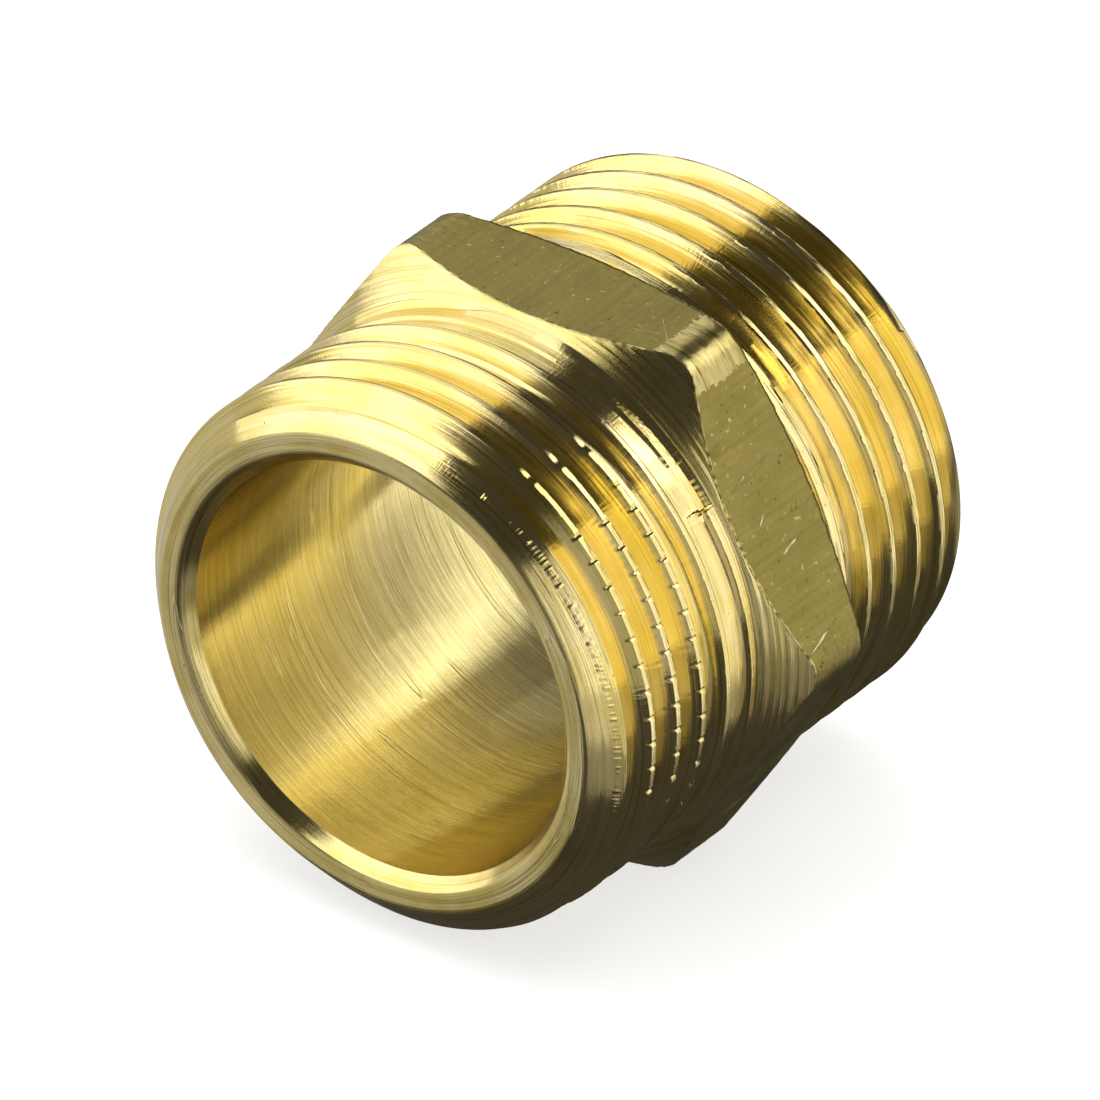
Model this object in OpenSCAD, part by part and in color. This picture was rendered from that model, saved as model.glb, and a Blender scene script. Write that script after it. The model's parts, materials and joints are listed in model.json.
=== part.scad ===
// Brass hex nipple: two G 3/4 male threads on either side of a 27 mm hexagon,
// with a plain bore right through.  It is turned from one piece of hexagon bar,
// and is drawn here as its three machined sections, which meet face to face.
//
// Frame: bore axis along X, near end at -X, middle of the length at the origin.
// +Z is the normal of one hexagon flat, so the nipple lies on the opposite flat.

/* [Length] */
// Length of the near threaded end, from its end face to the hexagon
near_len = 10.2; // [10:0.2:10.4]
// Length of the hexagon, with its chamfers and the shoulder on its far side
hex_len = 6.0; // [5:0.1:12]
// Length of the far threaded end, from the hexagon to its end face
far_len = 10.8; // [10.4:0.2:11]

/* [Thread] */
// Diameter over the thread crests
thread_d = 26.3; // [26.08:0.01:26.3]
// Pitch: 14 threads to the inch
pitch = 1.814; // [1.5:0.001:2]
// Height of the thread from root to crest
thread_h = 1.162; // [0.8:0.001:1.2]
// Depth that the die's tapered lead takes off the last grooves, per turn
lead_taper = 0.375; // [0.2:0.005:1.2]
// Turns from the near end's first crest to where its thread has run out
near_turns = 5.07; // [3.5:0.01:5.2]
// The same at the far end
far_turns = 5.8; // [3.5:0.01:6]
// Length of the plain collar between the far thread and the hexagon
collar_len = 0.85; // [0.4:0.05:1.5]
// Diameter of that collar, which is left a little over the thread crests
collar_d = 26.32; // [26.32:0.01:26.4]
// First crest on the top line of the near end, from its end face
near_phase = 0.51; // [0:0.01:1.8]
// First crest on the top line of the far end, from its end face
far_phase = 1.56; // [0:0.01:1.8]

/* [Bore and end faces] */
// Diameter of the bore
bore_d = 20.0; // [16:0.1:20.4]
// Size of the 45 degree chamfer at each mouth of the bore
mouth_chamfer = 0.55; // [0.2:0.05:0.8]
// Outer diameter of the flat end faces, where the thread's lead-in chamfer starts
face_d = 23.2; // [22.4:0.1:24]

/* [Hexagon] */
// Spanner size: width across the flats
hex_af = 26.8; // [26.6:0.1:30]
// Rise of the near chamfer for 1 mm along the axis
near_slope = 1.22; // [0.6:0.01:4]
// Rise of the far chamfer for 1 mm along the axis
far_slope = 2.4; // [0.6:0.1:6]
// Length of the plain shoulder on the far side, as wide as the far collar
shoulder_len = 0.2; // [0.1:0.05:1]
// Radius of the rounded corners of the drawn bar
corner_r = 2.0; // [0.2:0.1:3]

/* [Hidden] */

brass = [0.86, 0.68, 0.30];
total_len = near_len + hex_len + far_len;
near_face_x = -total_len / 2;
hex_near_x = near_face_x + near_len;
hex_far_x = hex_near_x + hex_len;
shoulder_x = hex_far_x - shoulder_len;
far_face_x = total_len / 2;

// Thread form: 55 degrees between the flanks, equal flats at crest and root.
flank_run = thread_h * tan(27.5);
root_half = (pitch - 2 * flank_run) / 4;
groove_half = root_half + flank_run;
STEPS = 72;             // facets round one turn
cut = 1;                // how far a cutting tool reaches past the metal
cone_step = 0.04;       // height of the small step from the collar up to a cone's foot

function clamp(v, low, high) = min(max(v, low), high);

// Depth of the groove at a distance from its middle, both in mm, before the taper.
function groove_depth(off) = thread_h * clamp((groove_half - abs(off)) / flank_run, 0, 1);

// Depth that the die's tapered lead lets the groove have after a number of turns.
function lead_depth(turns, last) = clamp(lead_taper * (last - turns), 0, thread_h);

// Half of the root's width, which grows as the lead makes the groove shallow.
function root_at(turns, last) = groove_half - flank_run * lead_depth(turns, last) / thread_h;

// Radius of the threaded end at distance x from its end face and a share of a turn.
// crest is where the first crest crosses share 0, and each turn moves it one pitch on.
// The blank is the full diameter, with a 45 degree lead-in chamfer at the end face.
function thread_r(x, share, crest, last) =
    let (pos = (x - crest) / pitch - 0.5 - share)
    let (groove = round(pos))
    let (depth = min(groove_depth((pos - groove) * pitch), lead_depth(groove + share, last)))
    min(face_d / 2 + x, thread_d / 2 - depth);

// One threaded end, with its end face at x = 0 and its foot at x = len.
// Each groove has four rows of points, one on each of its corners, which follow the helix.
module threaded_end(len, crest, last) {
    grooves = ceil(len / pitch) + 3;
    n_rows = 4 * grooves;
    function corner(side, turns) =
        side == 0 ? -groove_half : side == 3 ? groove_half : (side == 1 ? -1 : 1) * root_at(turns, last);
    function row_x(i, share) =
        let (groove = floor(i / 4) - 2)
        clamp(crest + pitch * (groove + 0.5 + share) + corner(i % 4, groove + share), 0, len);
    function index(i, k) = clamp(i, 0, n_rows - 1) * STEPS + k;
    points = [
        for (i = [0 : n_rows - 1], k = [0 : STEPS - 1])
            let (share = k / STEPS)
            let (x = i == n_rows - 1 ? len : row_x(i, share))
            let (r = thread_r(x, share, crest, last))
            [x, r * sin(-360 * share), r * cos(-360 * share)]
    ];
    // Past the last column the helix has climbed one pitch, which is four rows.
    walls = [
        for (i = [-4 : n_rows - 2], k = [0 : STEPS - 1])
            let (next = (k + 1) % STEPS, up = k == STEPS - 1 ? 4 : 0)
            let (a = index(i, k), b = index(i + 1, k))
            let (c = index(i + 1 + up, next), d = index(i + up, next))
            each [[a, b, c], [a, c, d]]
    ];
    near_cap = [[for (k = [0 : STEPS - 1]) index(0, k)]];
    far_cap = [[for (k = [STEPS - 1 : -1 : 0]) index(n_rows - 1, k)]];
    polyhedron(points = points, faces = concat(walls, near_cap, far_cap), convexity = 10);
}

// A true cylinder or cone along X, from x0 to x1.
module along_x(x0, x1, r0, r1) {
    translate([x0, 0, 0])
        rotate([0, 90, 0])
            cylinder(h = x1 - x0, r1 = r0, r2 = r1, $fn = 96);
}

module bore() {
    along_x(near_face_x - cut, far_face_x + cut, bore_d / 2, bore_d / 2);
}

// Chamfer at the mouth of the bore, for an end face at x = 0 that looks along -X.
module mouth() {
    along_x(-cut, mouth_chamfer, bore_d / 2 + mouth_chamfer + cut, bore_d / 2);
}

module near_thread_end() {
    color(brass)
        difference() {
            translate([near_face_x, 0, 0])
                threaded_end(near_len, near_phase, near_turns);
            bore();
            translate([near_face_x, 0, 0])
                mouth();
        }
}

// Turned end for end about Z, the thread keeps its hand.
module far_thread_end() {
    color(brass)
        difference() {
            union() {
                translate([far_face_x, 0, 0])
                    rotate([0, 0, 180])
                        threaded_end(far_len, far_phase, far_turns);
                along_x(hex_far_x, hex_far_x + collar_len, collar_d / 2, collar_d / 2);
            }
            bore();
            translate([far_face_x, 0, 0])
                rotate([0, 0, 180])
                    mouth();
        }
}

// Hexagon bar with rounded corners, a flat on top, along X.
module hex_bar() {
    core = hex_af / 2 - corner_r;
    translate([hex_near_x, 0, 0])
        rotate([0, 90, 0])
            linear_extrude(height = hex_len)
                union() {
                    rotate(30)
                        circle(r = core / cos(30), $fn = 6);
                    for (side = [0 : 2])
                        rotate(60 * side)
                            square([hex_af, 2 * core * tan(30)], center = true);
                    for (corner = [0 : 5])
                        rotate(60 * corner + 30)
                            translate([core / cos(30), 0])
                                circle(r = corner_r, $fn = 48);
                }
}

// The two turned cones that chamfer the corners of the bar.
module hex_cones() {
    foot_r = collar_d / 2 + cone_step;
    cones_len = hex_len - shoulder_len;
    intersection() {
        along_x(hex_near_x, shoulder_x, foot_r, foot_r + near_slope * cones_len);
        along_x(hex_near_x, shoulder_x, foot_r + far_slope * cones_len, foot_r);
    }
}

module hex_section() {
    color(brass)
        difference() {
            union() {
                intersection() {
                    hex_bar();
                    hex_cones();
                }
                along_x(shoulder_x - cut, hex_far_x, collar_d / 2, collar_d / 2);
            }
            bore();
        }
}

near_thread_end();
hex_section();
far_thread_end();
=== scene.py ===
"""Brass hex nipple: the visual model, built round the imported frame.

The nipple is one piece of turned brass.  It is drawn as its three machined sections, each a mesh
that stands for the CAD node of the same section, and they meet face to face.
Lengths are in millimetres until a mesh is made.  Angles go round the bore axis from the bottom
(-Z) through +Y and the top (+Z), the way in which a right-hand thread climbs along +X.
"""

import json
import math

import bmesh
import bpy
import numpy as np
from mathutils import Matrix, Vector


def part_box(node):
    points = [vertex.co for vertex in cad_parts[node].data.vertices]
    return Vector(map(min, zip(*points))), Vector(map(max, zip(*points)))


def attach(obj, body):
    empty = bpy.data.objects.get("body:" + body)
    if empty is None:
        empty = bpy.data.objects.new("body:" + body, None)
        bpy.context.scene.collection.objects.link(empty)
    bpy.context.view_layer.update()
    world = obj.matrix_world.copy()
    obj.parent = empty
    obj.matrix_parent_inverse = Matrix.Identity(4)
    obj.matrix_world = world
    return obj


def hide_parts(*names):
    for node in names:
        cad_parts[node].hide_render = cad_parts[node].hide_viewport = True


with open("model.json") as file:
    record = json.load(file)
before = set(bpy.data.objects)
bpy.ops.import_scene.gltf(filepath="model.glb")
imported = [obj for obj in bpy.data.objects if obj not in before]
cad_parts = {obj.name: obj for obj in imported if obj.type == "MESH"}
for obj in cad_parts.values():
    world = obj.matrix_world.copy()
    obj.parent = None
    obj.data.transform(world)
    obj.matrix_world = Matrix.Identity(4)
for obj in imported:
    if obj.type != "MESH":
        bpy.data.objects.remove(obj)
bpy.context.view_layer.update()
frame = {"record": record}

MM = 0.001
TAU = 2 * math.pi


# ---------------------------------------------------------------- sizes from the frame

def corners(node):
    """Lowest and highest corner of a CAD node, in mm."""
    low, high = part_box(node)
    return np.array(low) / MM, np.array(high) / MM


def mount(name):
    """One of the record's mounts, by its name."""
    return next(m for m in frame["record"]["mounts"] if m["name"] == name)


near_low, near_high = corners("near_thread_end")
hex_low, hex_high = corners("hex_section")
far_high = corners("far_thread_end")[1]

NEAR_X, FAR_X = near_low[0], far_high[0]
HEX_X0, HEX_X1 = hex_low[0], hex_high[0]
CREST_R = near_high[2]                       # over the thread crests
FLAT_R = hex_high[2]                         # half the width across the flats
BORE_R = mount("bore")["dims"]["r_mm"]

# ---------------------------------------------------------------- sizes the design repeats

PITCH = 1.814                                # 14 threads to the inch
THREAD_H = 1.162                             # root to crest
FLANK_RUN = THREAD_H * math.tan(math.radians(27.5))
GROOVE_HALF = (PITCH + 2 * FLANK_RUN) / 4    # half a groove's width at the crests
CREST_ROUND = 0.035                          # depth over which a crest's corners are rounded
ROOT_ROUND = 0.04                            # and a root's
TAPER = 0.375                                # depth that the die's lead takes off per turn
NEAR_CREST, FAR_CREST = 0.51, 1.56           # first crest on the top line, from the end face
NEAR_TURNS, FAR_TURNS = 5.07, 5.8            # turns from there to where the thread has run out

FACE_R = 11.6                                # outer edge of the flat end ring
FACE_LOOPS = (10.8, 11.1, 11.35)             # radii of the loops of points across that ring
EDGE = 0.03                                  # how far the edges of the end ring and the shoulder are eased
MOUTH = 0.55                                 # chamfer at each mouth of the bore
MOUTH_MIDDLE = 0.28                          # distance of its middle loop from the end face
LEAD_R = FACE_R - 0.015                      # radius of the lead-in chamfer, taken back to x = 0
LIP_X, LIP_R = 0.035, FACE_R + 0.02          # where that chamfer leaves the eased edge
RING_X = 0.37                                # the chamfer is a plain ring up to here
END_ROWS = 5                                 # rows along the bore and along that plain ring
BORE_RIPPLE = 0.001                          # height of the waves round the bore

FOOT_R = CREST_R                             # where a threaded end meets the hexagon
NEAR_SLOPE = 1.22                            # the two cones that chamfer the hexagon
FAR_SLOPE = 2.4
CORNER_R = 2.0                               # rounded corners of the bar
COLLAR_R = 13.1                              # plain collar beside the far thread
COLLAR_LEN = 0.85
SHOULDER_X = HEX_X1 - 0.2                    # the collar carries on into the hexagon up to here

COARSE, FINE = 0.8, 0.22                     # degrees between columns, plain and where notched
FINE_FROM, FINE_TO = 24, 100                 # the notched part, in degrees past the top towards -Y
HEX_COLS = 1080
WELD = 0.0005                                # points closer than this become one
SHARP = 40                                   # degrees between two faces that makes an edge sharp


# ---------------------------------------------------------------- small helpers

def rounded(value, width):
    """max(value, 0) with its corner rounded over +-width."""
    bend = (value + width) ** 2 / (4 * width)
    return np.where(value < -width, 0.0, np.where(value > width, value, bend))


def smooth(value):
    """0 below 0, 1 above 1 and a soft step between."""
    held = np.clip(value, 0, 1)
    return held * held * (3 - 2 * held)


def after(value, start, fade):
    """0 up to start, 1 from start + fade on and a soft step between."""
    return smooth((value - start) / fade)


def until(value, stop, fade):
    """1 up to stop - fade, 0 from stop on and a soft step between."""
    return smooth((stop - value) / fade)


def lump(value, middle, width):
    """A smooth hump of height 1, with its middle and half width in the unit of the value."""
    return np.exp(-((value - middle) / width) ** 2)


def ripple(rng, angle, waves, terms=9):
    """Smooth noise of about -1 to 1 round the axis: sine waves of random number and phase."""
    counts = rng.integers(max(1, waves // 2), 2 * waves, terms)
    phases = rng.uniform(0, TAU, terms)
    total = sum(np.sin(count * angle + phase) for count, phase in zip(counts, phases))
    return total / math.sqrt(terms)


def grain(rng, shape, blur=3):
    """Seeded speckle of about -1 to 1, one value a point, blurred over a few columns."""
    field = rng.normal(0, 1, shape)
    total = sum(np.roll(field, shift, axis=1) for shift in range(blur))
    return np.clip(total / math.sqrt(blur), -2, 2) / 2


def from_top(angle):
    """Angle from the top line, positive towards +Y, in degrees from -180 to 180."""
    return (180 - np.degrees(angle) + 180) % 360 - 180


# ---------------------------------------------------------------- mesh building

def column(*values):
    """Values for the rows of a strip, the same in every column."""
    return np.array(values, float)[:, None]


class Shell:
    """Strips of loops round the bore axis, welded into one mesh where their rows meet.

    The mesh isn't quite closed.  Rows further apart than WELD leave a hair-thin open seam: at both
    ends of a threaded end's bore, for its ripple, and on the hexagon's far edges, for their burr.
    Rows that fall together at the near thread's foot leave some faces twice.

    shares are the columns' places round the axis, from 0 to 1.  A strip has an x and a radius for
    every row and column.  Its texture map holds, in mm, the way round the surface and the way
    across its turning marks.
    """

    def __init__(self, shares):
        self.cols = len(shares)
        self.share = np.array(shares)[None, :]
        self.ends = np.append(shares, 1.0)
        self.angle = self.share * TAU
        self.points, self.faces, self.maps, self.slots = [], [], [], []
        self.count = 0

    def strip(self, x, r, slot, across=None, climb=0, lean=0.0):
        """Adds rows of loops, with a face between each two rows and columns.

        slot is one material slot, or a grid of them with one for each face.  across is the way
        across the marks, which is x if it isn't given.  On a helix, climb is how many rows further
        a row carries on after one turn, and lean is what one turn takes off the way across.
        """
        x, r = np.broadcast_arrays(x * np.ones_like(self.angle), r * np.ones_like(self.angle))
        across = x if across is None else across * np.ones_like(x)
        rows = len(x)
        spot = np.stack([x, r * np.sin(self.angle), -r * np.cos(self.angle)], -1)
        self.points.append(spot.reshape(-1, 3))
        row, col = np.meshgrid(np.arange(-climb, rows - 1), np.arange(self.cols), indexing="ij")
        row, col = row.ravel(), col.ravel()
        jump = np.where(col == self.cols - 1, climb, 0)
        corner_rows = [row, row + jump, row + jump + 1, row + 1]
        corner_cols = [col, col + 1, col + 1, col]
        loops, maps = [], []
        for i, k in zip(corner_rows, corner_cols):
            i = np.clip(i, 0, rows - 1)
            loops.append(self.count + i * self.cols + k % self.cols)
            share = self.ends[k]
            crossing = across[i, k % self.cols] - lean * share
            maps.append(np.stack([share * TAU * CREST_R, crossing], -1))
        self.faces.append(np.stack(loops, -1))
        self.maps.append(np.stack(maps, 1))
        self.slots.append(np.broadcast_to(slot, (rows - 1 + climb, self.cols)).ravel())
        self.count += rows * self.cols

    def build(self, name, materials, place):
        """The finished piece, moved to its place by a matrix."""
        mesh = bpy.data.meshes.new(name)
        mesh.from_pydata(np.concatenate(self.points) * MM, [], np.concatenate(self.faces))
        for material in materials:
            mesh.materials.append(material)
        mesh.polygons.foreach_set("material_index", np.concatenate(self.slots).astype(np.int32))
        layer = mesh.uv_layers.new(name="turned")
        layer.data.foreach_set("uv", np.concatenate(self.maps).reshape(-1).astype(np.float32))
        welded = bmesh.new()
        welded.from_mesh(mesh)
        bmesh.ops.remove_doubles(welded, verts=welded.verts, dist=WELD * MM)
        bmesh.ops.dissolve_degenerate(welded, edges=welded.edges, dist=WELD * MM)
        bmesh.ops.recalc_face_normals(welded, faces=welded.faces)
        welded.to_mesh(mesh)
        welded.free()
        mesh.transform(place)
        mesh.polygons.foreach_set("use_smooth", np.ones(len(mesh.polygons), bool))
        mesh.set_sharp_from_angle(angle=math.radians(SHARP))
        piece = bpy.data.objects.new(name, mesh)
        bpy.context.scene.collection.objects.link(piece)
        return piece


def thread_shares():
    """Columns round a threaded end, as shares of a turn: closer together where it is notched."""
    first, last = (180 + FINE_FROM) / 360, (180 + FINE_TO) / 360
    parts = [np.arange(0, first, COARSE / 360), np.arange(first, last, FINE / 360),
             np.arange(last, 1 - 0.1 / 360, COARSE / 360)]
    return np.concatenate(parts)


# ---------------------------------------------------------------- threaded ends

THREAD, RING, BORE = 0, 1, 2                 # material slots of a threaded end


def groove_depth(off):
    """Depth of a full groove at a distance from its middle, with its four corners rounded."""
    wall = (GROOVE_HALF - np.abs(off)) / FLANK_RUN * THREAD_H
    held = THREAD_H - rounded(THREAD_H - wall, ROOT_ROUND)
    return rounded(held, CREST_ROUND)


def groove_knots(root):
    """Distances of a groove's rows from its middle, for half of the root's width.

    They lie close together at the corners.  The last one is the crest's middle.
    """
    flank = GROOVE_HALF - root
    fillet = np.minimum(0.05, 0.3 * flank)
    half = [0.55 * root, root - fillet, root + fillet, root + 0.36 * flank, root + 0.68 * flank,
            GROOVE_HALF - 0.1 * flank, GROOVE_HALF + 0 * flank, GROOVE_HALF + 0.03 + 0 * flank,
            GROOVE_HALF + 0.09 + 0 * flank]
    return [-h for h in reversed(half)] + [0 * root] + half + [PITCH / 2 + 0 * root]


def thread_rows(crest, last, length, share):
    """x, radius and turn of every row of the helix for each column, and the rows to a turn.

    A groove's rows sit on its corners.  The die's tapered lead leaves the last grooves with a
    wide shallow root, so the root's corners move apart as the depth falls.
    """
    grooves = np.arange(-2, math.ceil((length - crest) / PITCH) + 1)
    rows_x, rows_r, rows_turn = [], [], []
    for groove in grooves:
        turn = groove + share - 0.5
        cap = np.clip(TAPER * (last - turn), 0, THREAD_H)
        knots = groove_knots(GROOVE_HALF - FLANK_RUN * cap / THREAD_H)
        middle = crest + PITCH * (groove + share)
        for knot in knots:
            rows_x.append(middle + knot)
            rows_r.append(CREST_R - np.minimum(groove_depth(knot), cap))
            rows_turn.append(turn + knot / PITCH)
    return np.concatenate(rows_x), np.concatenate(rows_r), np.concatenate(rows_turn), len(knots)


def end_ring(shell):
    """The mouth's chamfer, the flat end ring and the plain start of the lead-in chamfer."""
    mouth_r = BORE_R + MOUTH
    shell.strip(column(MOUTH + EDGE, MOUTH - EDGE, MOUTH_MIDDLE, EDGE),
                column(BORE_R, BORE_R + 2 * EDGE, mouth_r - MOUTH_MIDDLE, mouth_r - EDGE), RING)
    radii = column(mouth_r - EDGE, mouth_r + EDGE, *FACE_LOOPS, FACE_R - EDGE, LIP_R)
    shell.strip(column(EDGE, 0, 0, 0, 0, 0, LIP_X), radii, RING, across=radii)
    ring_x = np.linspace(LIP_X, RING_X, END_ROWS)[:, None]
    shell.strip(ring_x, LEAD_R + ring_x, RING, across=ring_x)


def threaded_end(name, crest, last, length, place, dress):
    """One threaded end, with its end face at x = 0 and its foot at x = length until it is placed.

    dress changes the radii of the helix, to put on the marks of the real thread.
    """
    shell = Shell(thread_shares())
    rng = np.random.default_rng(11)
    bore_x = column(*np.linspace(length, MOUTH + EDGE, END_ROWS))
    shell.strip(bore_x, BORE_R + BORE_RIPPLE * ripple(rng, shell.angle, 6), BORE)
    end_ring(shell)

    x, r, turn, climb = thread_rows(crest, last, length, shell.share)
    x = np.clip(x, RING_X, length)
    r = np.minimum(r, LEAD_R + x)
    r = dress(x, r, turn, shell.angle)
    r = np.where(x <= RING_X, LEAD_R + RING_X, np.where(x >= length, FOOT_R, r))
    x[-1], r[-1] = length, FOOT_R
    shell.strip(x, r, THREAD, climb=climb, lean=PITCH)
    shell.strip(column(length, length), column(FOOT_R, BORE_R), THREAD, across=column(0, 3))
    return shell.build(name, [thread_brass, ring_brass, bore_brass], place)


# ---------------------------------------------------------------- marks on the two threads

# Here t is the angle from the top line in degrees, positive towards +Y before the end is placed.
NOTCH_STEP = 5.6                             # degrees between the notches of a crest
NOTCH_SHIFT = 0.17                           # steps by which the next crest's notches are off
NOTCH_HALF, NOTCH_DEPTH = 0.32, 0.07         # half width in degrees, and depth
NOTCH_TOP = -38                              # they start here and go on downwards
RIDGE_OFF, RIDGE_HALF = 0.85, 0.25           # metal pushed up on both sides of a notch, in degrees
RIDGE_SHARE = 0.20                           # its height, as a share of the notch's depth
KNOB_T, KNOB_HEIGHT = -31, 0.05              # a lump above the first notch, with a dip above it
KNOB_LEAN = 0.6                              # degrees by which both move at each crest
BEAD_HEIGHT = 0.035                          # on the first crest
BURR_HEIGHT = 0.004                          # roughness of all the near crests
SHELF_T, SHELF_END, SHELF_X = -53.5, 62, 10.06      # a flat that the last die tooth cut at the foot
SHELF_DEPTH = 0.30
FOOT_ROUGH = 0.005                           # roughness of that flat
DING_X, DING_HEIGHT = 9.2, 0.10              # metal pushed up where the flat starts
OVER_CREST = 0.012                           # nothing stands further than this over the crests
FAR_BURR, COLLAR_ROUGH = 0.007, 0.004        # roughness of the far crests and the collar
TICK_HEIGHT = 0.006                          # chatter on the far thread's last groove


def crest_place(turn, angle):
    """The number of the nearest crest, 0 for the first one, and the distance from its middle in mm."""
    place = turn - angle / TAU + 1
    return np.round(place), (place - np.round(place)) * PITCH


def notched(t, crest_index, off):
    """What the notches and the lumps of the second to fourth crests add to the radius."""
    on_crest = until(np.abs(off), 0.20, 0.06) * (crest_index > 0.5) * (crest_index < 3.5)
    gap = ((t / NOTCH_STEP + NOTCH_SHIFT * crest_index) % 1 - 0.5) * NOTCH_STEP
    cut = lump(gap, 0, NOTCH_HALF) - RIDGE_SHARE * lump(np.abs(gap), RIDGE_OFF, RIDGE_HALF)
    knob = lump(t, KNOB_T - KNOB_LEAN * crest_index, 0.9)
    dip = 0.7 * lump(t, KNOB_T + 3 - KNOB_LEAN * crest_index, 1.2)
    notches = -NOTCH_DEPTH * cut * on_crest * until(t, NOTCH_TOP, 3)
    knobs = KNOB_HEIGHT * (knob - dip) * on_crest
    return notches, knobs


def dress_near(x, r, turn, angle):
    """The near crests' notches and burrs, and the flat that a last die tooth cut at the foot."""
    t = from_top(angle) * np.ones_like(x)
    rng = np.random.default_rng(3)
    speckle = grain(rng, x.shape)
    beads = np.clip(grain(rng, (1, x.shape[1]), 2), 0, 1)
    crest_index, off = crest_place(turn, angle)
    notches, knobs = notched(t, crest_index, off)
    r = r + notches + knobs
    torn = until(np.abs(off), 0.10, 0.04) * (crest_index < 0.5) * until(t, -15, 10) * (x > 0.45)
    r = r + BEAD_HEIGHT * beads * torn
    burr = 0.35 + 0.65 * until(t, -20, 20)
    r = r + BURR_HEIGHT * speckle * until(np.abs(off), 0.18, 0.05) * burr
    past = after(turn + t / 360, 4.0, 0.02)
    window = after(t, SHELF_T, 0.7) * until(t, SHELF_END, 12)
    shelf = CREST_R - SHELF_DEPTH * until(x, SHELF_X, 0.05) * window * past
    r = np.minimum(r, np.maximum(shelf, r - SHELF_DEPTH))
    foot = past * after(t, -46, 5) * until(t, -16, 6)
    r = r + FOOT_ROUGH * speckle * foot
    ding = lump(t, SHELF_T, 1.3) * lump(x, DING_X, 0.45)
    r = r + DING_HEIGHT * ding * (turn > 4) * (1 + speckle)
    return np.minimum(r, CREST_R + OVER_CREST)


def dress_far(x, r, turn, angle):
    """The plain collar beside the hexagon, which ends square, and small chatter on the crests."""
    collar_x = FAR_X - HEX_X1 - COLLAR_LEN
    wall = COLLAR_R - rounded((collar_x - x) * 3, 0.05)
    t = from_top(angle) * np.ones_like(x)
    speckle = grain(np.random.default_rng(8), x.shape)
    crest = after(r - CREST_R, -0.06, 0.05) * (x < collar_x)
    r = np.minimum(np.maximum(r, wall), CREST_R) + FAR_BURR * speckle * crest
    ticks = np.sin(np.radians(t * 200)) * after(x - collar_x, -1.3, 0.2) * until(x, collar_x - 0.1, 0.2)
    return r + TICK_HEIGHT * ticks * until(np.abs(t), 50, 10) + COLLAR_ROUGH * speckle * (x > collar_x)


# ---------------------------------------------------------------- hexagon

CONE, HEX_BORE, FLAT, RUBBED = 0, 1, 2, 3    # material slots of the hexagon
CONE_ROWS, FLAT_ROWS, BACK_ROWS = 26, 34, 8
SOFT, SOFT_WAVES = 0.035, 0.012              # how much the flats' edges are rounded, and its swing
SWELL, SWELL_LEN = 0.07, 1.6                 # the foot of the near cone bulges a little
STEP_HEIGHT = 0.012                          # turning steps on the near cone
EDGE_BURR = 0.022                            # unevenness along the flats' edges
CORNER_ROUGH, RUBBED_ROUGH = 0.012, 0.05     # of the corners, and of where the rubbing ends
RUBBED_T, RUBBED_HALF = -30, 10              # the rubbed corner, in degrees from the top line


def bar_radius(angle):
    """Outer radius of the drawn hexagon bar, with its rounded corners."""
    corner = math.radians(30)
    core = FLAT_R - CORNER_R
    side = (angle + corner) % (2 * corner) - corner            # angle from the nearest flat's middle
    reach = core / math.cos(corner)
    aside = reach * np.sin(corner - np.abs(side))
    on_round = reach * np.cos(corner - np.abs(side)) + np.sqrt(np.maximum(CORNER_R ** 2 - aside ** 2, 0))
    on_flat = FLAT_R / np.cos(side)
    return np.where(np.abs(side) > math.atan(core * math.tan(corner) / FLAT_R), on_round, on_flat)


def near_cone(shell, edge_x):
    """The near cone with its turning steps, from its foot to edge_x.  Returns its last row."""
    share = np.linspace(0, 1, CONE_ROWS)[:, None]
    x = HEX_X0 + share * (edge_x - HEX_X0)
    swell = SWELL * np.sin(math.pi * np.clip((x - HEX_X0) / SWELL_LEN, 0, 1))
    wave = np.sin(x * 26 + 0.8 * np.sin(x * 7))
    steps = STEP_HEIGHT * wave * smooth(share * 6) * smooth((1 - share) * 6)
    r = FOOT_R + (x - HEX_X0) * NEAR_SLOPE + swell * (1 - share) + steps
    shell.strip(x, r, CONE, across=x + r)
    return x[-1:], r[-1:]


def six_flats(shell, rng, outer, soft, near_edge, far_edge, first):
    """The bar's own surface between the two cones, with rounded edges and one rubbed corner."""
    along = np.linspace(0, 1, FLAT_ROWS)[:, None]
    start, stop = near_edge + 1.8 * soft, far_edge - 1.8 * soft
    inner_x = start + along * (stop - start)
    x = np.concatenate([first[0], near_edge + 0.1 * soft, inner_x, far_edge + soft])
    burr = EDGE_BURR * np.clip(ripple(rng, shell.angle, 300, 20) + 0.4, 0, 1.5)
    on_corner = after(outer, FLAT_R * 1.09, 0.4) * until(np.abs(inner_x), 2.5, 0.6)
    flat = outer + CORNER_ROUGH * grain(rng, (FLAT_ROWS, HEX_COLS), 4) * on_corner
    r = np.concatenate([first[1], outer - 0.25 * soft + burr, flat, outer - FAR_SLOPE * soft + burr])
    rubbed = outer + RUBBED_ROUGH * grain(rng, (len(x) - 1, HEX_COLS)) > FLAT_R * 1.10
    rubbed = rubbed & (np.abs(from_top(shell.angle) - RUBBED_T) < RUBBED_HALF)
    slots = np.where(rubbed, RUBBED, FLAT)
    slots[:2] = slots[-1] = RUBBED
    shell.strip(x, r, slots, across=x)


def far_side(shell, edge_x):
    """The far cone, down from edge_x, and the plain shoulder beside it."""
    x = edge_x + np.linspace(0, 1, BACK_ROWS)[:, None] * (SHOULDER_X - edge_x)
    shell.strip(x, FOOT_R + (SHOULDER_X - x) * FAR_SLOPE, CONE, across=x * 3)
    shell.strip(column(SHOULDER_X, SHOULDER_X + EDGE, HEX_X1, HEX_X1),
                column(FOOT_R, COLLAR_R, COLLAR_R, BORE_R), CONE, across=column(0, 0.1, 0.4, 3))


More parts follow.
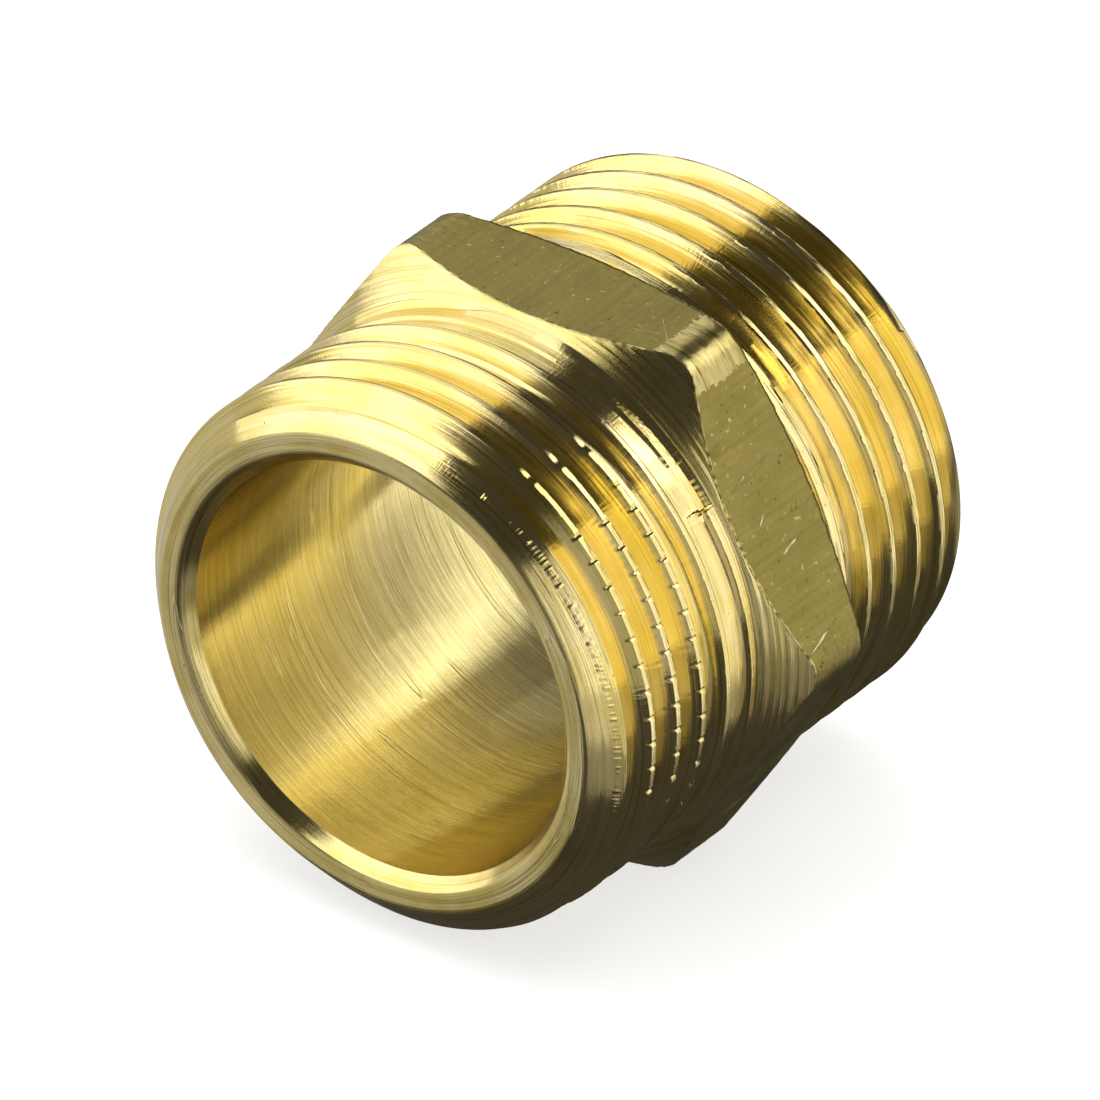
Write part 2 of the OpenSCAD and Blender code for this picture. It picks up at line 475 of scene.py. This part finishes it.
def hexagon():
    """The hexagon: its bore, the near cone, the six flats, the far cone and the shoulder."""
    shell = Shell(np.arange(HEX_COLS) / HEX_COLS)
    rng = np.random.default_rng(5)
    outer = bar_radius(shell.angle)
    soft = SOFT + SOFT_WAVES * ripple(rng, shell.angle, 60)
    near_edge = HEX_X0 + (outer - FOOT_R) / NEAR_SLOPE
    far_edge = SHOULDER_X - (outer - FOOT_R) / FAR_SLOPE
    shell.strip(column(HEX_X1, HEX_X0), BORE_R + 0 * shell.angle, HEX_BORE)
    shell.strip(column(HEX_X0, HEX_X0), column(BORE_R, FOOT_R), CONE, across=column(0, 3))
    cone_end = near_cone(shell, near_edge - soft)
    six_flats(shell, rng, outer, soft, near_edge, far_edge, cone_end)
    far_side(shell, far_edge + soft)
    return shell.build("hexagon", [cone_brass, bore_brass, flat_brass, edge_brass], Matrix.Identity(4))


# ---------------------------------------------------------------- materials

class Tree:
    """A material's nodes.  An input that is a socket gets linked, and any other is set."""

    def __init__(self, name):
        self.material = bpy.data.materials.new(name)
        self.material.use_nodes = True
        self.nodes = self.material.node_tree.nodes
        self.links = self.material.node_tree.links
        self.shader = self.nodes["Principled BSDF"]

    def add(self, kind, inputs=(), out=0, **settings):
        """A new node's output, of the number out."""
        node = self.nodes.new(kind)
        for key, value in settings.items():
            setattr(node, key, value)
        for key, value in dict(inputs).items():
            self.plug(node.inputs[key], value)
        return node.outputs[out]

    def plug(self, socket, value):
        if isinstance(value, bpy.types.NodeSocket):
            self.links.new(value, socket)
        else:
            socket.default_value = value

    def math(self, operation, *values):
        return self.add("ShaderNodeMath", enumerate(values), operation=operation)

    def turned(self, along, across):
        """The turned map, stretched: fine across the marks and long the way round."""
        coords = self.add("ShaderNodeUVMap", uv_map="turned")
        return self.add("ShaderNodeMapping", {"Vector": coords, "Scale": (along, across, 1)})

    def noise(self, vector, scale=1.0, detail=2.0, rough=0.5):
        return self.add("ShaderNodeTexNoise", {"Vector": vector, "Scale": scale, "Detail": detail,
                                               "Roughness": rough})

    def ramp(self, value, low, high, to_low=0.0, to_high=1.0):
        """Takes low to to_low and high to to_high, straight between and held outside."""
        return self.add("ShaderNodeMapRange", {"Value": value, "From Min": low, "From Max": high,
                                               "To Min": to_low, "To Max": to_high})

    def mix(self, share, a, b):
        """The colour a where share is 0 and b where it is 1."""
        node = self.nodes.new("ShaderNodeMix")
        node.data_type = "RGBA"
        self.plug(node.inputs[0], share)
        self.plug(node.inputs[6], a)
        self.plug(node.inputs[7], b)
        return node.outputs[2]

    def bump(self, height, distance, normal=None):
        """A normal tilted by a height, where 1 stands for distance in mm, on top of another."""
        inputs = {"Height": height, "Distance": distance * MM, "Strength": 1.0}
        if normal is not None:
            inputs["Normal"] = normal
        return self.add("ShaderNodeBump", inputs)

    def finish(self, **values):
        """The material, with the shader's inputs set: an input's name has _ for each space."""
        for key, value in values.items():
            self.plug(self.shader.inputs[key.replace("_", " ")], value)
        return self.material


OBJECT_SPACE = 3                             # that output of the texture coordinates, in metres
STAIN = (0.34, 0.17, 0.05, 1)                # small brown stains on turned brass
FRESH = (0.95, 0.82, 0.42, 1)                # fresh scratches on it
BRIGHT_SPECK = (0.62, 0.52, 0.22, 1)         # specks and scratches on the drawn flats
DARK_SPECK = (0.10, 0.07, 0.03, 1)
FLAT_SCRATCH = (0.80, 0.70, 0.36, 1)
MARK_SHADE = 0.62                                 # share of the dark tone kept in the deepest turning marks, as painted shade in their grooves
FLAT_SCRATCHES = ((0.9, 3.0), (-0.35, 11.0), (1.35, 23.0))     # turn in radians, place in the noise


def brass(name, light, dark, rough, line_scale, line_depth, turned=0.85, ticks=0.0, scratch=0.0,
          specks=0.75):
    """Turned brass: colour, gloss and fine relief follow the turning marks, with painted shade in the
    deepest marks.

    light and dark are its two tones and rough the least and most roughness.  line_scale is the
    number of marks to the mm and line_depth their height in mm.  turned is how far the marks
    stretch a highlight.  ticks is the height of the chatter across the marks, scratch that of long
    scratches nearly along them.  The higher specks is, the fewer the stains.
    """
    tree = Tree(name)
    place = tree.add("ShaderNodeTexCoord", out=OBJECT_SPACE)
    lines = tree.noise(tree.turned(0.05, line_scale), 1.0, 3.0, 0.7)
    broad = tree.noise(tree.turned(0.08, line_scale * 0.2), 1.0, 3.0, 0.6)
    patches = tree.noise(place, 230.0, 4.0, 0.65)
    tone = tree.math("ADD", tree.math("MULTIPLY", broad, 0.5), tree.math("MULTIPLY", patches, 0.5))
    colour = tree.mix(tree.ramp(tone, 0.40, 0.58), dark, light)
    # Painted shade: the colour darkens where the turning marks are deepest, in the bottoms of their
    # grooves.
    marks = tree.ramp(lines, 0.30, 0.46)
    colour = tree.mix(marks, tuple(MARK_SHADE * channel for channel in dark[:3]) + (1,), colour)
    stains = tree.ramp(tree.noise(place, 2300.0, 2.0, 0.6), specks, specks + 0.06)
    colour = tree.mix(stains, colour, STAIN)
    relief = tree.bump(tree.noise(place, 5200.0, 2.0), 0.002)
    relief = tree.bump(broad, line_depth * 2.0, relief)
    relief = tree.bump(lines, line_depth, relief)
    if ticks:
        across = tree.noise(tree.turned(9.0, 1.6), 1.0, 1.0)
        where = tree.ramp(tree.noise(place, 330.0, 1.0), 0.48, 0.60)
        relief = tree.bump(tree.math("MULTIPLY", across, where), ticks, relief)
    if scratch:
        field = tree.noise(tree.turned(0.04, 1.3), 1.0, 1.0, 0.4)
        groove = tree.math("MULTIPLY", tree.ramp(field, 0.640, 0.650), tree.ramp(field, 0.660, 0.650))
        relief = tree.bump(groove, scratch, relief)
        colour = tree.mix(groove, colour, FRESH)
    way_round = tree.add("ShaderNodeTangent", direction_type="UV_MAP", uv_map="turned")
    return tree.finish(Tangent=way_round, Base_Color=colour, Metallic=1.0, Normal=relief,
                       Anisotropic=turned, Anisotropic_Rotation=0.25,
                       Roughness=tree.ramp(lines, 0.3, 0.7, *rough))


def drawn_brass(name, light, dark, rough):
    """The bar's own skin on the six flats: dull and mottled, with specks and stray scratches."""
    tree = Tree(name)
    place = tree.add("ShaderNodeTexCoord", out=OBJECT_SPACE)
    mottle = tree.noise(place, 420.0, 5.0, 0.7)
    grains = tree.noise(place, 3000.0, 3.0, 0.7)
    drawn = tree.noise(tree.turned(3.0, 0.10), 1.0, 3.0, 0.6)
    tone = tree.math("ADD", tree.math("MULTIPLY", mottle, 0.55), tree.math("MULTIPLY", drawn, 0.45))
    colour = tree.mix(tree.ramp(tone, 0.38, 0.62), dark, light)
    colour = tree.mix(tree.ramp(grains, 0.64, 0.72), colour, BRIGHT_SPECK)
    colour = tree.mix(tree.ramp(grains, 0.36, 0.28), colour, DARK_SPECK)
    relief = tree.bump(grains, 0.008)
    relief = tree.bump(mottle, 0.012, relief)
    relief = tree.bump(drawn, 0.010, relief)
    for turn, seed in FLAT_SCRATCHES:
        lines = tree.add("ShaderNodeMapping", {"Vector": tree.turned(1, 1),
                                               "Location": (seed, seed, 0),
                                               "Rotation": (0, 0, turn)})
        lines = tree.add("ShaderNodeMapping", {"Vector": lines, "Scale": (0.12, 2.2, 1)})
        field = tree.noise(lines, 1.0, 2.0, 0.5)
        groove = tree.math("MULTIPLY", tree.ramp(field, 0.69, 0.70), tree.ramp(field, 0.71, 0.70))
        relief = tree.bump(groove, 0.02, relief)
        colour = tree.mix(groove, colour, FLAT_SCRATCH)
    return tree.finish(Base_Color=colour, Metallic=1.0, Normal=relief,
                       Roughness=tree.ramp(mottle, 0.3, 0.7, *rough))


# Light and dark tones: the threads, ring and cones, then the bore, the flats and the rubbed edges.
LIGHT = (0.93, 0.76, 0.36, 1)
WARM = (0.82, 0.65, 0.20, 1)
OLIVE = (0.70, 0.56, 0.17, 1)
PALE, PALE_DARK = (0.89, 0.75, 0.36, 1), (0.76, 0.64, 0.26, 1)
DULL, DULL_DARK = (0.34, 0.275, 0.076, 1), (0.24, 0.19, 0.048, 1)
WORN, WORN_DARK = (0.74, 0.61, 0.26, 1), (0.44, 0.35, 0.11, 1)
thread_brass = brass("thread_brass", LIGHT, WARM, (0.10, 0.18), 9.0, 0.011, turned=0.8, ticks=0.003)
ring_brass = brass("ring_brass", LIGHT, OLIVE, (0.15, 0.26), 9.0, 0.012, scratch=0.008)
bore_brass = brass("bore_brass", PALE, PALE_DARK, (0.13, 0.21), 12.0, 0.006, turned=0.9,
                   scratch=0.006, specks=0.80)
cone_brass = brass("cone_brass", LIGHT, OLIVE, (0.13, 0.24), 7.0, 0.014, ticks=0.003)
flat_brass = drawn_brass("flat_brass", DULL, DULL_DARK, (0.32, 0.44))
edge_brass = brass("edge_brass", WORN, WORN_DARK, (0.24, 0.36), 4.0, 0.016, turned=0.3)


# ---------------------------------------------------------------- the pieces

near_place = Matrix.Translation((NEAR_X * MM, 0, 0))
far_place = Matrix.Translation((FAR_X * MM, 0, 0)) @ Matrix.Rotation(math.pi, 4, "Z")
near_length, far_length = HEX_X0 - NEAR_X, FAR_X - HEX_X1
near_thread = threaded_end("near_thread", NEAR_CREST, NEAR_TURNS, near_length, near_place, dress_near)
hexagon_piece = hexagon()
far_thread = threaded_end("far_thread", FAR_CREST, FAR_TURNS, far_length, far_place, dress_far)
pieces = {
    "near_thread_end": (near_thread, "threaded_brass"),
    "hex_section": (hexagon_piece, "hexagon_brass"),
    "far_thread_end": (far_thread, "threaded_brass"),
}
for node, (piece, slot) in pieces.items():
    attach(piece, "root")
    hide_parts(node)


# ---------------------------------------------------------------- floor, lights and camera

FLOOR_HALF, FLOOR_GREY, FLOOR_GLOW = 3.0, 0.36, 0.68    # half width in metres
WALL_R, WALL_HEIGHT, WALL_GLOW = 2.9, 6.0, 0.93         # in metres
CARD_R, CARD_GAP, CARD_GLOW = 14.5, 4, 0.17             # the gap is from the far end face
BOX_GAP = 3.8                                           # just in front of that card
ROUND = 64                                              # sides of the wall and of the card
STRIP_DISTANCE = 600


def grey(level):
    """An opaque grey."""
    return (level, level, level, 1)


def glowing(name, glow, base=0.0, **values):
    """A material that shines evenly at a grey level."""
    return Tree(name).finish(Base_Color=grey(base), Emission_Color=grey(glow), Emission_Strength=1.0,
                             **values)


def stage_piece(name, mesh, material):
    """Part of the studio: the brass doesn't mirror it and it throws no shadow, unless set later."""
    mesh.materials.append(material)
    piece = bpy.data.objects.new(name, mesh)
    bpy.context.scene.collection.objects.link(piece)
    piece.visible_glossy = False
    piece.visible_shadow = False
    return piece


def stage_mesh(name, make, **settings):
    """A mesh made by one of bmesh's own shapes."""
    mesh = bpy.data.meshes.new(name)
    shape = bmesh.new()
    make(shape, segments=ROUND, **settings)
    shape.to_mesh(mesh)
    shape.free()
    return mesh


def floor():
    """A pale floor under the hexagon's lowest flat."""
    mesh = bpy.data.meshes.new("floor")
    spots = [(x * FLOOR_HALF, y * FLOOR_HALF, 0) for x, y in ((-1, -1), (1, -1), (1, 1), (-1, 1))]
    mesh.from_pydata(spots, [], [(0, 1, 2, 3)])
    piece = stage_piece("floor", mesh, glowing("pale_floor", FLOOR_GLOW, FLOOR_GREY, Roughness=0.9))
    piece.location.z = hex_low[2] * MM


def backdrop():
    """A pale wall all round, which only the camera sees."""
    mesh = stage_mesh("backdrop", bmesh.ops.create_cone, radius1=WALL_R, radius2=WALL_R,
                      depth=WALL_HEIGHT)
    piece = stage_piece("backdrop", mesh, glowing("pale_wall", WALL_GLOW))
    piece.visible_diffuse = False


def bore_card():
    """A dim round card over the far mouth, which the camera doesn't see and the bore mirrors."""
    turn = Matrix.Rotation(math.pi / 2, 4, "Y")
    mesh = stage_mesh("bore_card", bmesh.ops.create_circle, cap_ends=True, radius=CARD_R * MM,
                      matrix=turn)
    piece = stage_piece("bore_card", mesh, glowing("dim_card", CARD_GLOW, Specular_IOR_Level=0.0))
    piece.location.x = (FAR_X + CARD_GAP) * MM
    piece.visible_glossy = True
    piece.visible_camera = False
    piece.visible_diffuse = False


def panel(name, centre, facing, size, radiance, mirrored=True):
    """A flat area light with its middle at centre, which shines against the way facing.

    radiance is how bright it shows in the brass.  The camera doesn't see it.
    """
    light = bpy.data.lights.new(name, "AREA")
    light.shape = "RECTANGLE"
    light.size, light.size_y = size[0] * MM, size[1] * MM
    light.energy = radiance * math.pi * light.size * light.size_y
    piece = bpy.data.objects.new(name, light)
    piece.location = Vector(centre) * MM
    piece.rotation_euler = Vector(facing).to_track_quat("Z", "Y").to_euler()
    piece.visible_camera = False
    piece.visible_glossy = mirrored
    bpy.context.scene.collection.objects.link(piece)


def strip_light(name, lean, spread, start, stop, radiance):
    """A long softbox beside the nipple and parallel to its bore.

    lean and spread are its middle and its whole width as an angle round the bore, from straight up
    and positive towards +Y.  start and stop are its ends, as angles from the middle of the nipple.
    """
    way = Vector((0, math.sin(math.radians(lean)), math.cos(math.radians(lean))))
    x0, x1 = (STRIP_DISTANCE * math.tan(math.radians(end)) for end in (start, stop))
    width = 2 * STRIP_DISTANCE * math.tan(math.radians(spread / 2))
    middle = way * STRIP_DISTANCE + Vector(((x0 + x1) / 2, 0, 0))
    panel(name, middle, way, (x1 - x0, width), radiance)


def studio_lights():
    """Softboxes on both sides of the bore, with a dark gap overhead, and some smaller lights."""
    strip_light("right_strip_high", -71.5, 57, -48, 34, 1.25)
    strip_light("right_strip_low", -110, 20, -48, 34, 0.62)
    strip_light("right_strip_below", -129, 18, -48, 34, 0.22)
    strip_light("right_strip_far", -87, 89, 34, 54, 1.15)
    strip_light("right_far_below", -142, 20, 34, 54, 0.4)
    strip_light("left_strip_far", 50, 76, -17, 46, 1.2)
    strip_light("left_strip_near", 50, 76, -66, -17, 1.7)
    strip_light("left_fill", 116, 56, -58, 42, 0.5)
    spot = Vector((0.666, -0.400, 0.629))
    panel("right_spot", spot * STRIP_DISTANCE, spot, (250, 180), 3.0)
    front = Vector((-0.95, -0.25, -0.12))
    panel("front_fill", front * STRIP_DISTANCE, front, (250, 330), 0.4)
    panel("overhead", (0, 0, 800), (0, 0, 1), (900, 900), 3.0, mirrored=False)
    # What the bore mirrors in its far mouth, in front of the card there.
    panel("bore_box", (FAR_X + BOX_GAP, -3.2, 3.0), (1, 0, 0), (4.8, 26), 1.9)


CAMERA_TURNS = (-54.27, 33.45, 1.73)         # azimuth, elevation and roll in degrees
CAMERA_DISTANCE = 937.3
CAMERA_AIM = (-0.842, 0, 0)                  # the point that it looks at, before the small shifts
SHIFT_RIGHT, SHIFT_UP = 0.155, -0.055
LENS, SENSOR = 702.4, 36


def camera():
    """The main view: a long lens that looks down on the near end."""
    azimuth, elevation, roll = map(math.radians, CAMERA_TURNS)
    back = Vector((math.sin(azimuth) * math.cos(elevation), -math.cos(azimuth) * math.cos(elevation),
                   math.sin(elevation)))
    right = Vector((math.cos(azimuth), math.sin(azimuth), 0))
    up = back.cross(right)
    right, up = (math.cos(roll) * right + math.sin(roll) * up,
                 math.cos(roll) * up - math.sin(roll) * right)
    aim = Vector(CAMERA_AIM) + SHIFT_RIGHT * right + SHIFT_UP * up
    data = bpy.data.cameras.new("camera")
    data.lens = LENS
    data.sensor_width = SENSOR
    data.clip_start, data.clip_end = 0.01, 20
    piece = bpy.data.objects.new("camera", data)
    turn = Matrix((right, up, back)).transposed().to_4x4()
    piece.matrix_world = Matrix.Translation((aim + CAMERA_DISTANCE * back) * MM) @ turn
    bpy.context.scene.collection.objects.link(piece)
    bpy.context.scene.camera = piece


floor()
backdrop()
bore_card()
studio_lights()
camera()
world = bpy.data.worlds.new("studio")
world.use_nodes = True
world.node_tree.nodes["Background"].inputs["Color"].default_value = grey(0.05)
bpy.context.scene.world = world
bpy.context.scene.view_settings.view_transform = "Standard"
